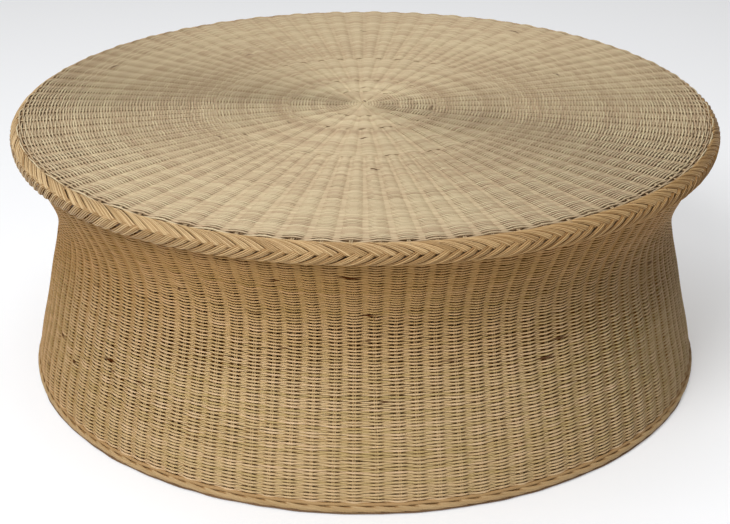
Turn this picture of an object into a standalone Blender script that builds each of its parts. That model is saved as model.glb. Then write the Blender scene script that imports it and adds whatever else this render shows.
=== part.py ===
# Round wicker coffee table: a woven drum with a waisted side wall, a flat woven
# top and a plaited rim, built over a plywood disc and a hidden frame of rattan
# hoops, bent legs and crossed bearers.  Metres, +Z up, the floor at z = 0, the drum on the Z axis.
import math
import bpy
import bmesh
from mathutils import Matrix, Vector

# ------------------------------------------------------------------ dimensions
GAP = 0.0003                 # clearance between pieces that touch
SEG = 64                     # facets round every hoop and woven ring
PHASE = math.pi / SEG        # a flat facet faces +X, -X, +Y and -Y
FLAT = math.cos(math.pi / SEG)

TOP_Z = 0.3725               # level of the woven top
TOP_T = 0.0052               # thickness of the woven top
BOARD_T = 0.0040             # plywood disc under the woven top
FRAME_Z = TOP_Z - TOP_T - GAP - BOARD_T - GAP   # level the board rests on
RIM_R = 0.5000               # outer radius of the plaited rim
RIM_HALF_R = 0.0193          # half of the rim's width, measured radially
RIM_HALF_Z = 0.0149          # half of the rim's height

RIM_HOOP_ROD = 0.0100        # radius of the rattan in the rim hoop
RIM_HOOP_R = RIM_R - RIM_HALF_R
RIM_HOOP_Z = FRAME_Z - RIM_HOOP_ROD

WALL_T = 0.0070              # thickness of the woven side wall
WALL_TOP_Z = TOP_Z - 2.0 * RIM_HALF_Z - GAP
# outer radius of the side wall at rising heights: wide foot, waist, flared top
WALL_PROFILE = [
    (0.0000, 0.4886), (0.0300, 0.4852), (0.0494, 0.4816), (0.0988, 0.4697),
    (0.1482, 0.4592), (0.1975, 0.4482), (0.2280, 0.4444), (0.2469, 0.4455),
    (0.2720, 0.4524), (0.2963, 0.4632), (0.3200, 0.4748), (0.3424, 0.4858),
]

FOOT_H = 0.0115              # height of the foot border
FOOT_OUT = 0.4915            # outer radius of the foot border
FOOT_IN = 0.4805             # inner radius of the foot border

FOOT_HOOP_ROD = 0.0110
FOOT_HOOP_Z = 0.0220
FOOT_HOOP_R = 0.4665
WAIST_HOOP_ROD = 0.0090
WAIST_HOOP_Z = 0.2280
WAIST_HOOP_R = 0.4444 - WALL_T - GAP - WAIST_HOOP_ROD

LEG_COUNT = 8
LEG_ROD = 0.0125
LEG_FIRST = math.radians(22.5)

BEARER_ROD = 0.0100
BEARER_Z = FRAME_Z - BEARER_ROD
BEARER_END = (RIM_HOOP_R - RIM_HOOP_ROD) * FLAT - GAP
ARC_ROD = 0.0080
ARC_R = 0.2500
ARC_Z = FRAME_Z - ARC_ROD

SCREW_R = 0.0018
SCREW_HEAD_R = 0.0046
SCREW_HEAD_T = 0.0020
DOWEL_R = 0.0030
DOWEL_HALF = 0.0080


# ------------------------------------------------------------------ helpers
def clear_scene():
    for ob in list(bpy.data.objects):
        bpy.data.objects.remove(ob, do_unlink=True)


def material(name, color, rough, metal=0.0):
    mat = bpy.data.materials.new(name)
    mat.use_nodes = True
    node = mat.node_tree.nodes.get("Principled BSDF")
    node.inputs["Base Color"].default_value = (color[0], color[1], color[2], 1.0)
    node.inputs["Roughness"].default_value = rough
    node.inputs["Metallic"].default_value = metal
    mat.diffuse_color = (color[0], color[1], color[2], 1.0)
    return mat


def put(name, mesh, mat, smooth=True):
    mesh.materials.clear()
    mesh.materials.append(mat)
    for poly in mesh.polygons:
        poly.use_smooth = smooth
    ob = bpy.data.objects.new(name, mesh)
    bpy.context.scene.collection.objects.link(ob)
    return ob


def revolve(name, section):
    """Spin a closed (radius, height) outline once round the Z axis."""
    bm = bmesh.new()
    start = []
    for r, z in section:
        start.append(bm.verts.new((r * math.cos(PHASE), r * math.sin(PHASE), z)))
    edges = []
    for i in range(len(start)):
        edges.append(bm.edges.new((start[i], start[(i + 1) % len(start)])))
    bmesh.ops.spin(bm, geom=start + edges, cent=(0, 0, 0), axis=(0, 0, 1),
                   angle=2.0 * math.pi, steps=SEG, use_merge=True,
                   use_duplicate=False)
    bmesh.ops.remove_doubles(bm, verts=bm.verts, dist=0.00001)
    bmesh.ops.recalc_face_normals(bm, faces=bm.faces)
    mesh = bpy.data.meshes.new(name)
    bm.to_mesh(mesh)
    bm.free()
    return mesh


def rod_section(radius, ring_r, z, sides):
    """Outline of a round rod at the given distance from the axis."""
    out = []
    for i in range(sides):
        a = 2.0 * math.pi * i / sides
        out.append((ring_r + radius * math.cos(a), z + radius * math.sin(a)))
    return out


def rod_mesh(name, points, radius, sides_quarter=2):
    """A round rod bent along a line of points, with flat cut ends."""
    curve = bpy.data.curves.new(name + "_line", "CURVE")
    curve.dimensions = "3D"
    curve.bevel_depth = radius
    curve.bevel_resolution = sides_quarter
    curve.use_fill_caps = True
    curve.resolution_u = 1
    curve.render_resolution_u = 1
    curve.twist_mode = "MINIMUM"
    spline = curve.splines.new("POLY")
    spline.points.add(len(points) - 1)
    for i, p in enumerate(points):
        spline.points[i].co = (p[0], p[1], p[2], 1.0)
    holder = bpy.data.objects.new(name + "_line", curve)
    bpy.context.scene.collection.objects.link(holder)
    deps = bpy.context.evaluated_depsgraph_get()
    mesh = bpy.data.meshes.new_from_object(holder.evaluated_get(deps))
    bpy.data.objects.remove(holder, do_unlink=True)
    bpy.data.curves.remove(curve)
    bm = bmesh.new()
    bm.from_mesh(mesh)
    bmesh.ops.remove_doubles(bm, verts=bm.verts, dist=0.00001)
    bmesh.ops.recalc_face_normals(bm, faces=bm.faces)
    bm.to_mesh(mesh)
    bm.free()
    mesh.name = name
    return mesh


def pins_mesh(name, places, radius, sides=12):
    """Straight round pins: each place is (start point, end point)."""
    bm = bmesh.new()
    for a, b in places:
        a = Vector(a)
        b = Vector(b)
        turn = (b - a).to_track_quat("Z", "Y").to_matrix().to_4x4()
        bmesh.ops.create_cone(bm, cap_ends=True, cap_tris=False, segments=sides,
                              radius1=radius, radius2=radius,
                              depth=(b - a).length,
                              matrix=Matrix.Translation((a + b) / 2.0) @ turn)
    bmesh.ops.recalc_face_normals(bm, faces=bm.faces)
    mesh = bpy.data.meshes.new(name)
    bm.to_mesh(mesh)
    bm.free()
    return mesh


def box_mesh(name, lo, hi):
    bm = bmesh.new()
    bmesh.ops.create_cube(bm, size=1.0)
    for v in bm.verts:
        for k in range(3):
            v.co[k] = lo[k] if v.co[k] < 0.0 else hi[k]
    mesh = bpy.data.meshes.new(name)
    bm.to_mesh(mesh)
    bm.free()
    return mesh


def cut(target, cutter_mesh):
    """Take the cutter's volume away from the target."""
    ob = bpy.data.objects.new(cutter_mesh.name, cutter_mesh)
    bpy.context.scene.collection.objects.link(ob)
    ob.hide_render = True
    ob.display_type = "WIRE"
    mod = target.modifiers.new("cut_" + cutter_mesh.name, "BOOLEAN")
    mod.operation = "DIFFERENCE"
    mod.solver = "EXACT"
    mod.object = ob
    return ob


def polar(r, a, z):
    return (r * math.cos(a), r * math.sin(a), z)


def wall_radius(z):
    prof = WALL_PROFILE
    for i in range(len(prof) - 1):
        z0, r0 = prof[i]
        z1, r1 = prof[i + 1]
        if z <= z1:
            return r0 + (r1 - r0) * (z - z0) / (z1 - z0)
    return prof[-1][1]


# ------------------------------------------------------------------ materials
clear_scene()
straw_top = material("straw_top", (0.60, 0.46, 0.28), 0.62)
straw_side = material("straw_side", (0.52, 0.36, 0.18), 0.60)
straw_rim = material("straw_rim", (0.56, 0.41, 0.23), 0.58)
straw_foot = material("straw_foot", (0.36, 0.23, 0.11), 0.64)
rattan_pole = material("rattan_pole", (0.48, 0.31, 0.15), 0.50)
plywood = material("plywood", (0.50, 0.36, 0.21), 0.70)
beech_dowel = material("beech_dowel", (0.62, 0.45, 0.28), 0.60)
zinc_screw = material("zinc_screw", (0.60, 0.60, 0.58), 0.35, 1.0)

# ------------------------------------------------------------------ woven skins
# The flat woven top is stretched over a plywood disc, which lies on the rim
# hoop, the bearers and the brace arcs.
def round_plate(name, radius, z0, z1):
    mesh = revolve(name, [(0.0600, z0), (radius, z0), (radius, z1), (0.0600, z1)])
    bm = bmesh.new()
    bm.from_mesh(mesh)
    bore = [f for f in bm.faces
            if all(math.hypot(v.co.x, v.co.y) < 0.0610 for v in f.verts)]
    bmesh.ops.delete(bm, geom=bore, context="FACES")
    rims = [e for e in bm.edges if e.is_boundary]
    bmesh.ops.holes_fill(bm, edges=rims, sides=SEG)
    bmesh.ops.recalc_face_normals(bm, faces=bm.faces)
    bm.to_mesh(mesh)
    bm.free()
    return mesh


top_edge = RIM_HOOP_R - 0.0002
put("top_weave", round_plate("top_weave", top_edge, TOP_Z - TOP_T, TOP_Z),
    straw_top, smooth=False)
put("top_board", round_plate("top_board", top_edge, FRAME_Z + GAP, FRAME_Z + GAP + BOARD_T),
    plywood, smooth=False)

# The plait wraps the top and the outside of the rim hoop, from the edge of the
# woven top round to a full lower lip that hangs over the head of the side wall.
plait_section = []
rim_mid_z = TOP_Z - RIM_HALF_Z
for i in range(9):
    a = math.radians(90.0 - 19.5 * i)
    wide = math.cos(a) if a > 0.0 else math.cos(a) ** 0.6
    plait_section.append((RIM_HOOP_R + 0.0001 + (RIM_HALF_R - 0.0001) * wide,
                          rim_mid_z + RIM_HALF_Z * math.sin(a)))
for i in range(6):
    a = math.radians(-52.0 + 28.4 * i)
    plait_section.append((RIM_HOOP_R + 0.0001 + (RIM_HOOP_ROD + GAP) * math.cos(a),
                          RIM_HOOP_Z + (RIM_HOOP_ROD + GAP) * math.sin(a)))
put("rim_plait", revolve("rim_plait", plait_section), straw_rim)

# The waisted side wall: one woven sheet running from the foot border to the rim.
wall_zs = [FOOT_H + GAP] + [z for z, r in WALL_PROFILE[1:-1]] + [WALL_TOP_Z]
wall_out = [(wall_radius(z), z) for z in wall_zs]
wall_in = [(wall_radius(z) - WALL_T, z) for z in reversed(wall_zs)]
put("side_weave", revolve("side_weave", wall_out + wall_in), straw_side)

# The foot border: a low rounded band under the side wall, flat on the floor.
put("foot_border", revolve("foot_border", [
    (FOOT_IN, 0.0), (FOOT_OUT - 0.0020, 0.0), (FOOT_OUT, 0.0035),
    (FOOT_OUT, 0.0080), (FOOT_OUT - 0.0025, FOOT_H), (FOOT_IN, FOOT_H)]),
    straw_foot)

# ------------------------------------------------------------------ hoops
hoops = {}
for hoop_name, rod, ring_r, z in (
        ("rim_hoop", RIM_HOOP_ROD, RIM_HOOP_R, RIM_HOOP_Z),
        ("waist_hoop", WAIST_HOOP_ROD, WAIST_HOOP_R, WAIST_HOOP_Z),
        ("foot_hoop", FOOT_HOOP_ROD, FOOT_HOOP_R, FOOT_HOOP_Z)):
    hoops[hoop_name] = put(hoop_name, revolve(
        hoop_name, rod_section(rod, ring_r, z, 12)), rattan_pole)

# ------------------------------------------------------------------ legs
# Each leg is a bent pole that touches the inside of all three hoops.
leg_foot_r = (FOOT_HOOP_R - FOOT_HOOP_ROD) * FLAT - GAP - LEG_ROD
leg_waist_r = (WAIST_HOOP_R - WAIST_HOOP_ROD) * FLAT - GAP - LEG_ROD
leg_head_r = (RIM_HOOP_R - RIM_HOOP_ROD) * FLAT - GAP - LEG_ROD
leg_top_z = FRAME_Z


def ease(t):
    return t * t * (3.0 - 2.0 * t)


leg_line = [(leg_foot_r, 0.0), (leg_foot_r, 0.0340)]
for t in (0.25, 0.5, 0.75, 1.0):
    leg_line.append((leg_foot_r + (leg_waist_r - leg_foot_r) * ease(t),
                     0.0340 + (0.2160 - 0.0340) * t))
for t in (0.0, 0.25, 0.5, 0.75, 1.0):
    leg_line.append((leg_waist_r + (leg_head_r - leg_waist_r) * ease(t),
                     0.2400 + (0.3430 - 0.2400) * t))
leg_line.append((leg_head_r, leg_top_z))

joints = (("foot", FOOT_HOOP_Z, leg_foot_r, FOOT_HOOP_R),
          ("waist", WAIST_HOOP_Z, leg_waist_r, WAIST_HOOP_R),
          ("rim", RIM_HOOP_Z, leg_head_r, RIM_HOOP_R))

hoop_holes = {"rim": [], "waist": [], "foot": []}


def screw_mesh(name, length):
    """Pan-head screw along +X: the head's flat underside is at the origin."""
    sec = [(-SCREW_HEAD_T, 0.0), (-SCREW_HEAD_T, SCREW_HEAD_R * 0.70),
           (-SCREW_HEAD_T * 0.45, SCREW_HEAD_R), (0.0, SCREW_HEAD_R),
           (0.0, SCREW_R), (length - 0.0030, SCREW_R), (length, 0.0)]
    bm = bmesh.new()
    verts = [bm.verts.new((x, 0.0, r)) for x, r in sec]
    edges = [bm.edges.new((verts[i], verts[i + 1])) for i in range(len(verts) - 1)]
    bmesh.ops.spin(bm, geom=verts + edges, cent=(0, 0, 0), axis=(1, 0, 0),
                   angle=2.0 * math.pi, steps=10, use_merge=True,
                   use_duplicate=False)
    bmesh.ops.remove_doubles(bm, verts=bm.verts, dist=0.00001)
    bmesh.ops.recalc_face_normals(bm, faces=bm.faces)
    mesh = bpy.data.meshes.new(name)
    bm.to_mesh(mesh)
    bm.free()
    return mesh


screw_meshes = {}
for place, z, leg_r, hoop_r in joints:
    screw_meshes[place] = screw_mesh("screw_" + place, (hoop_r + 0.0030) - (leg_r - LEG_ROD - GAP))

for n in range(LEG_COUNT):
    a = LEG_FIRST + 2.0 * math.pi * n / LEG_COUNT
    leg = put("leg_%d" % (n + 1),
              rod_mesh("leg_%d" % (n + 1), [polar(r, a, z) for r, z in leg_line], LEG_ROD),
              rattan_pole)
    holes = []
    for place, z, leg_r, hoop_r in joints:
        holes.append((polar(leg_r - LEG_ROD - 0.0040, a, z),
                      polar(leg_r + LEG_ROD + 0.0040, a, z)))
        hoop_holes[place].append((polar(hoop_r - 0.0200, a, z),
                                  polar(hoop_r + 0.0035, a, z)))
        screw = put("screw_%s_%d" % (place, n + 1), screw_meshes[place], zinc_screw)
        screw.rotation_euler = (0.0, 0.0, a)
        screw.location = polar(leg_r - LEG_ROD - GAP, a, z)
    cut(leg, pins_mesh("leg_%d_holes" % (n + 1), holes, SCREW_R + GAP, 10))

# ------------------------------------------------------------------ bearers
# Two poles crossing under the middle of the top, let into each other by half.
bearer_1 = put("bearer_1", rod_mesh("bearer_1", [
    (-BEARER_END, 0, BEARER_Z), (BEARER_END, 0, BEARER_Z)], BEARER_ROD), rattan_pole)
bearer_2 = put("bearer_2", rod_mesh("bearer_2", [
    (0, -BEARER_END, BEARER_Z), (0, BEARER_END, BEARER_Z)], BEARER_ROD), rattan_pole)
half = BEARER_ROD + GAP
cut(bearer_1, box_mesh("lap_upper", (-half, -0.03, BEARER_Z - GAP / 2.0),
                       (half, 0.03, BEARER_Z + 0.03)))
cut(bearer_2, box_mesh("lap_lower", (-0.03, -half, BEARER_Z - 0.03),
                       (0.03, half, BEARER_Z + GAP / 2.0)))

# Dowels hidden in the bearer ends tie them to the rim hoop.
end_holes = {0: [], 1: []}
dowel = pins_mesh("dowel", [((-DOWEL_HALF, 0, 0), (DOWEL_HALF, 0, 0))], DOWEL_R, 10)
for n in range(4):
    a = math.pi / 2.0 * n
    mid = BEARER_END + GAP / 2.0
    pin = put("dowel_%d" % (n + 1), dowel, beech_dowel)
    pin.rotation_euler = (0.0, 0.0, a)
    pin.location = polar(mid, a, BEARER_Z)
    end_holes[n % 2].append((polar(mid - DOWEL_HALF - GAP, a, BEARER_Z),
                             polar(mid + 0.0100, a, BEARER_Z)))
    hoop_holes["rim"].append((polar(mid - 0.0100, a, BEARER_Z),
                              polar(mid + DOWEL_HALF + GAP, a, BEARER_Z)))
cut(bearer_1, pins_mesh("bearer_1_holes", end_holes[0], DOWEL_R + GAP, 10))
cut(bearer_2, pins_mesh("bearer_2_holes", end_holes[1], DOWEL_R + GAP, 10))

# The hoops are bored for the leg screws, the rim hoop for the dowels as well.
cut(hoops["rim_hoop"], pins_mesh("rim_hoop_holes", hoop_holes["rim"][:LEG_COUNT], SCREW_R + GAP, 10))
cut(hoops["rim_hoop"], pins_mesh("rim_hoop_dowel_holes", hoop_holes["rim"][LEG_COUNT:], DOWEL_R + GAP, 10))
cut(hoops["waist_hoop"], pins_mesh("waist_hoop_holes", hoop_holes["waist"], SCREW_R + GAP, 10))
cut(hoops["foot_hoop"], pins_mesh("foot_hoop_holes", hoop_holes["foot"], SCREW_R + GAP, 10))

# ------------------------------------------------------------------ brace arcs
# A ring of thinner cane under the top, in four lengths between the bearers.
reach = math.asin((BEARER_ROD + GAP + 0.0002) / (ARC_R - ARC_ROD))
for n in range(4):
    a0 = math.pi / 2.0 * n + reach
    a1 = math.pi / 2.0 * (n + 1) - reach
    steps = 10
    line = [polar(ARC_R, a0 + (a1 - a0) * i / steps, ARC_Z) for i in range(steps + 1)]
    put("brace_arc_%d" % (n + 1), rod_mesh("brace_arc_%d" % (n + 1), line, ARC_ROD, 1),
        rattan_pole)
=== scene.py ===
import math
import bpy
import bmesh
import numpy as np
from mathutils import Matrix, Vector


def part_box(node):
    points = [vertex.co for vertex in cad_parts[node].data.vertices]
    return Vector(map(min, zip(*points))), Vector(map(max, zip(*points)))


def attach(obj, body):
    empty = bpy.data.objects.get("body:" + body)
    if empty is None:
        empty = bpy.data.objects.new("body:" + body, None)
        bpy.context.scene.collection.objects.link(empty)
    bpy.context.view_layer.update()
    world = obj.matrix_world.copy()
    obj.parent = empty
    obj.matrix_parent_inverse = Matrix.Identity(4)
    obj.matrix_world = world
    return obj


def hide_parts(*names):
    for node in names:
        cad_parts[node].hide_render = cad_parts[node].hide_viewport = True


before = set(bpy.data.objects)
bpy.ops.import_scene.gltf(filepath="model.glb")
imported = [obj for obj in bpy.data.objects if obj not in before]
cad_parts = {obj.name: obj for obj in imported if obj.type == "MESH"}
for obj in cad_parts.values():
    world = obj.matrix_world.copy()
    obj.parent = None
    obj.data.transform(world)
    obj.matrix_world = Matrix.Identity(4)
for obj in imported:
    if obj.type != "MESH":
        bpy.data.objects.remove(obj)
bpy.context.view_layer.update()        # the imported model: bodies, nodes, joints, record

TAU = 2.0 * math.pi

# ---------------------------------------------------------------------------
# Sizes read from the frame
# ---------------------------------------------------------------------------
def profile_of(node, outer=True):
    """Outer (or inner) radius at each level of a node that is a body of revolution."""
    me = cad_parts[node].data
    co = np.empty(len(me.vertices) * 3)
    me.vertices.foreach_get("co", co)
    co = co.reshape(-1, 3)
    r = np.hypot(co[:, 0], co[:, 1])
    levels = {}
    for z, rad in zip(np.round(co[:, 2], 5), r):
        levels.setdefault(float(z), []).append(rad)
    zs = sorted(levels)
    return np.array(zs), np.array([(max if outer else min)(levels[z]) for z in zs])


wall_lo, wall_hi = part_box("side_weave")
rim_lo, rim_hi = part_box("rim_plait")
top_lo, top_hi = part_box("top_weave")
foot_lo, foot_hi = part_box("foot_border")
FLAT = math.cos(math.pi / 64.0)
RIM_R = rim_hi[0] / FLAT                       # outer radius of the plait
RIM_HZ = 0.0149                                # half of its height
RIM_Z = rim_hi[2] - RIM_HZ
RIM_HR = 0.0193                                # half of the plait's width
TOP_Z = top_hi[2]

# ---------------------------------------------------------------------------
# Small numeric tools
# ---------------------------------------------------------------------------
def smooth_curve(x, y, xi):
    """Monotone-friendly cubic through (x, y), evaluated at xi."""
    x = np.asarray(x, float)
    y = np.asarray(y, float)
    h = np.diff(x)
    d = np.diff(y) / h
    m = np.empty_like(y)
    m[1:-1] = (d[:-1] * h[1:] + d[1:] * h[:-1]) / (h[:-1] + h[1:])
    m[0] = d[0]
    m[-1] = d[-1]
    k = np.clip(np.searchsorted(x, xi) - 1, 0, len(h) - 1)
    t = (xi - x[k]) / h[k]
    return ((2 * t**3 - 3 * t**2 + 1) * y[k] + (t**3 - 2 * t**2 + t) * h[k] * m[k]
            + (-2 * t**3 + 3 * t**2) * y[k + 1] + (t**3 - t**2) * h[k] * m[k + 1])


class Meridian:
    """A line in the (radius, height) plane with its outward normal, measured along its length."""

    def __init__(self, R, Z, flip=False):
        self.R = np.asarray(R, float)
        self.Z = np.asarray(Z, float)
        ds = np.hypot(np.diff(self.R), np.diff(self.Z))
        self.s = np.concatenate([[0.0], np.cumsum(ds)])
        tR = np.gradient(self.R, self.s)
        tZ = np.gradient(self.Z, self.s)
        ln = np.hypot(tR, tZ)
        self.nR, self.nZ = tZ / ln, -tR / ln
        if flip:
            self.nR, self.nZ = -self.nR, -self.nZ
        self.length = self.s[-1]

    def at(self, s, off=0.0):
        R = np.interp(s, self.s, self.R)
        Z = np.interp(s, self.s, self.Z)
        a = np.interp(s, self.s, self.nR)
        b = np.interp(s, self.s, self.nZ)
        return R + a * off, Z + b * off, a, b


def wavy(rng, count, lo, hi):
    """A few random waves round the drum and up it: returns f(theta, s)."""
    k = rng.integers(lo, hi, count)
    m = rng.normal(0.0, 14.0, count)
    p = rng.uniform(0, TAU, count)
    a = rng.normal(0, 1, count) / math.sqrt(count)

    def f(theta, s):
        out = np.zeros(np.broadcast(theta, s).shape)
        for i in range(count):
            out = out + a[i] * np.sin(k[i] * theta + m[i] * s + p[i])
        return out
    return f


def ease(x):
    x = np.clip(x, 0.0, 1.0)
    return x * x * (3.0 - 2.0 * x)


def wave(x, flat=0.05):
    """Where a strand lies, from +1 in front of a stake to -1 behind the next. Half way
    between two stakes neighbouring rows lie level and pressed side by side."""
    y = np.mod(x, 2.0)
    tri = np.where(y < 1.0, 1.0 - 2.0 * y, 2.0 * y - 3.0)
    return np.sign(tri) * ease((np.abs(tri) - flat) / (0.82 - flat))


# ---------------------------------------------------------------------------
# Tubes
# ---------------------------------------------------------------------------
def unit(v):
    return v / np.maximum(np.linalg.norm(v, axis=-1, keepdims=True), 1e-12)


class Strands:
    """Collects tubes and turns them into one mesh object."""

    def __init__(self, sides=6):
        self.sides = sides
        self.co, self.quads, self.caps = [], [], []
        self.tone, self.stain, self.deep, self.aged, self.along = [], [], [], [], []
        self.runs = []                 # (first face, rings, closed)
        self.nv = 0
        self.nf = 0

    def add(self, P, N, ru, rv, closed=False, tone=0.0, stain=0.0, deep=0.0, along0=0.0, spin=0.5,
            aged=0.0, side=0.35, edge_shade_gain=0.55):
        """P centre line (n, 3), N outward normals (n, 3), ru thickness along N, rv across."""
        n = len(P)
        if closed:
            T = unit(np.roll(P, -1, 0) - np.roll(P, 1, 0))
        else:
            T = unit(np.gradient(P, axis=0))
        e2 = unit(np.cross(T, N))
        e1 = np.cross(e2, T)
        S = self.sides
        ang = (np.arange(S) + spin) * TAU / S
        ru = np.broadcast_to(ru, (n,))[:, None, None]
        rv = np.broadcast_to(rv, (n,))[:, None, None]
        V = (P[:, None, :] + ru * np.cos(ang)[None, :, None] * e1[:, None, :]
             + rv * np.sin(ang)[None, :, None] * e2[:, None, :])
        self.co.append(V.reshape(-1, 3))
        base = self.nv
        i = np.arange(n if closed else n - 1)
        i2 = (i + 1) % n
        j = np.arange(S)
        j2 = (j + 1) % S
        q = np.stack([base + i[:, None] * S + j[None, :], base + i[:, None] * S + j2[None, :],
                      base + i2[:, None] * S + j2[None, :], base + i2[:, None] * S + j[None, :]], -1)
        self.quads.append(q.reshape(-1, 4))
        if not closed:
            self.caps.append(base + np.arange(S)[::-1])
            self.caps.append(base + (n - 1) * S + np.arange(S))
        seg = np.linalg.norm(np.diff(P, axis=0), axis=1)
        al = along0 + np.concatenate([[0.0], np.cumsum(seg)])
        self.tone.append(np.repeat(np.broadcast_to(tone, (n,)), S))
        self.stain.append(np.repeat(np.broadcast_to(stain, (n,)), S))
        # painted shade: the sides and back of each tube cross-section get more of the dark recess colour, darkening the
        # creases between strands
        back = np.clip(side - 0.9 * np.cos(ang), 0.0, 1.0)[None, :]
        self.deep.append(np.clip(np.broadcast_to(deep, (n,))[:, None] + edge_shade_gain * back, 0.0, 1.0).reshape(-1))
        self.aged.append(np.repeat(np.broadcast_to(aged, (n,)), S))
        self.along.append(al)
        self.runs.append((n, closed))
        self.nv += n * S
        return al[-1]

    def build(self, name, mat, replaces=()):
        S = self.sides
        co = np.concatenate(self.co).astype(np.float32)
        quads = np.concatenate(self.quads)
        nq = len(quads)
        ncap = len(self.caps)
        loops = [quads.reshape(-1)]
        if ncap:
            loops.append(np.concatenate(self.caps))
        loops = np.concatenate(loops).astype(np.int32)
        total = np.concatenate([np.full(nq, 4), np.full(ncap, S)]).astype(np.int32)
        start = np.concatenate([[0], np.cumsum(total)[:-1]]).astype(np.int32)
        me = bpy.data.meshes.new(name)
        me.vertices.add(len(co))
        me.vertices.foreach_set("co", co.reshape(-1))
        me.loops.add(len(loops))
        me.loops.foreach_set("vertex_index", loops)
        me.polygons.add(len(total))
        me.polygons.foreach_set("loop_start", start)
        me.polygons.foreach_set("loop_total", total)
        me.polygons.foreach_set("use_smooth", np.ones(len(total), bool))
        # one map measures along each strand and round it, the other packs the
        # strands side by side in narrow lanes
        segs = sum(n if closed else n - 1 for n, closed in self.runs)
        lanes = max(4, int(math.ceil(math.sqrt(segs * 3.4 / (2.0 * S)))))
        per = int(math.ceil(segs / lanes))
        lanes = int(math.ceil(segs / per))
        g = np.arange(segs)
        lane = g // per
        pos = g % per
        du = 0.996 / per
        dv = 1.0 / (lanes + 1)
        u0 = 0.002 + pos * du
        v0 = lane * dv + dv * 0.06
        j = np.arange(S)
        vv0 = v0[:, None] + j[None, :] * (dv * 0.88 / S)
        vv1 = vv0 + dv * 0.88 / S
        U0 = np.repeat(u0[:, None], S, 1)
        U1 = U0 + du
        uv = np.stack([np.stack([U0, vv0], -1), np.stack([U0, vv1], -1),
                       np.stack([U1, vv1], -1), np.stack([U1, vv0], -1)], 2).reshape(-1, 2)
        a0, a1 = [], []
        for al, (n, closed) in zip(self.along, self.runs):
            if closed:
                a0.append(al)
                a1.append(np.append(al[1:], al[-1] + (al[-1] - al[-2])))
            else:
                a0.append(al[:-1])
                a1.append(al[1:])
        a0 = np.repeat(np.concatenate(a0)[:, None], S, 1)
        a1 = np.repeat(np.concatenate(a1)[:, None], S, 1)
        w0 = np.repeat((j / S)[None, :], segs, 0)
        w1 = w0 + 1.0 / S
        lay = np.stack([np.stack([a0, w0], -1), np.stack([a0, w1], -1),
                        np.stack([a1, w1], -1), np.stack([a1, w0], -1)], 2).reshape(-1, 2)
        if ncap:
            t = (np.arange(S) + 0.5) * TAU / S
            disc = np.stack([0.5 + 0.5 * np.cos(t), 0.5 + 0.5 * np.sin(t)], -1)
            cells = []
            for c in range(ncap):
                cells.append(np.array([0.002 + 0.99 * (c + 0.0) / ncap, lanes * dv + 0.1 * dv])
                             + disc * np.array([0.8 / max(ncap, 2), 0.6 * dv]))
            uv = np.concatenate([uv] + cells)
            lay = np.concatenate([lay] + [disc * 0.002] * ncap)
        pack = me.uv_layers.new(name="OFBake")
        pack.data.foreach_set("uv", uv.astype(np.float32).reshape(-1))
        along = me.uv_layers.new(name="Strand")
        along.data.foreach_set("uv", lay.astype(np.float32).reshape(-1))
        for key, values in (("tone", self.tone), ("stain", self.stain), ("deep", self.deep), ("aged", self.aged)):
            at = me.attributes.new(key, "FLOAT", "POINT")
            at.data.foreach_set("value", np.concatenate(values).astype(np.float32))
        me.update(calc_edges=True)
        me.validate()
        me.materials.append(mat)
        ob = bpy.data.objects.new(name, me)
        bpy.context.scene.collection.objects.link(ob)
        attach(ob, "root")
        if replaces:
            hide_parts(*replaces)
        return ob
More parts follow.
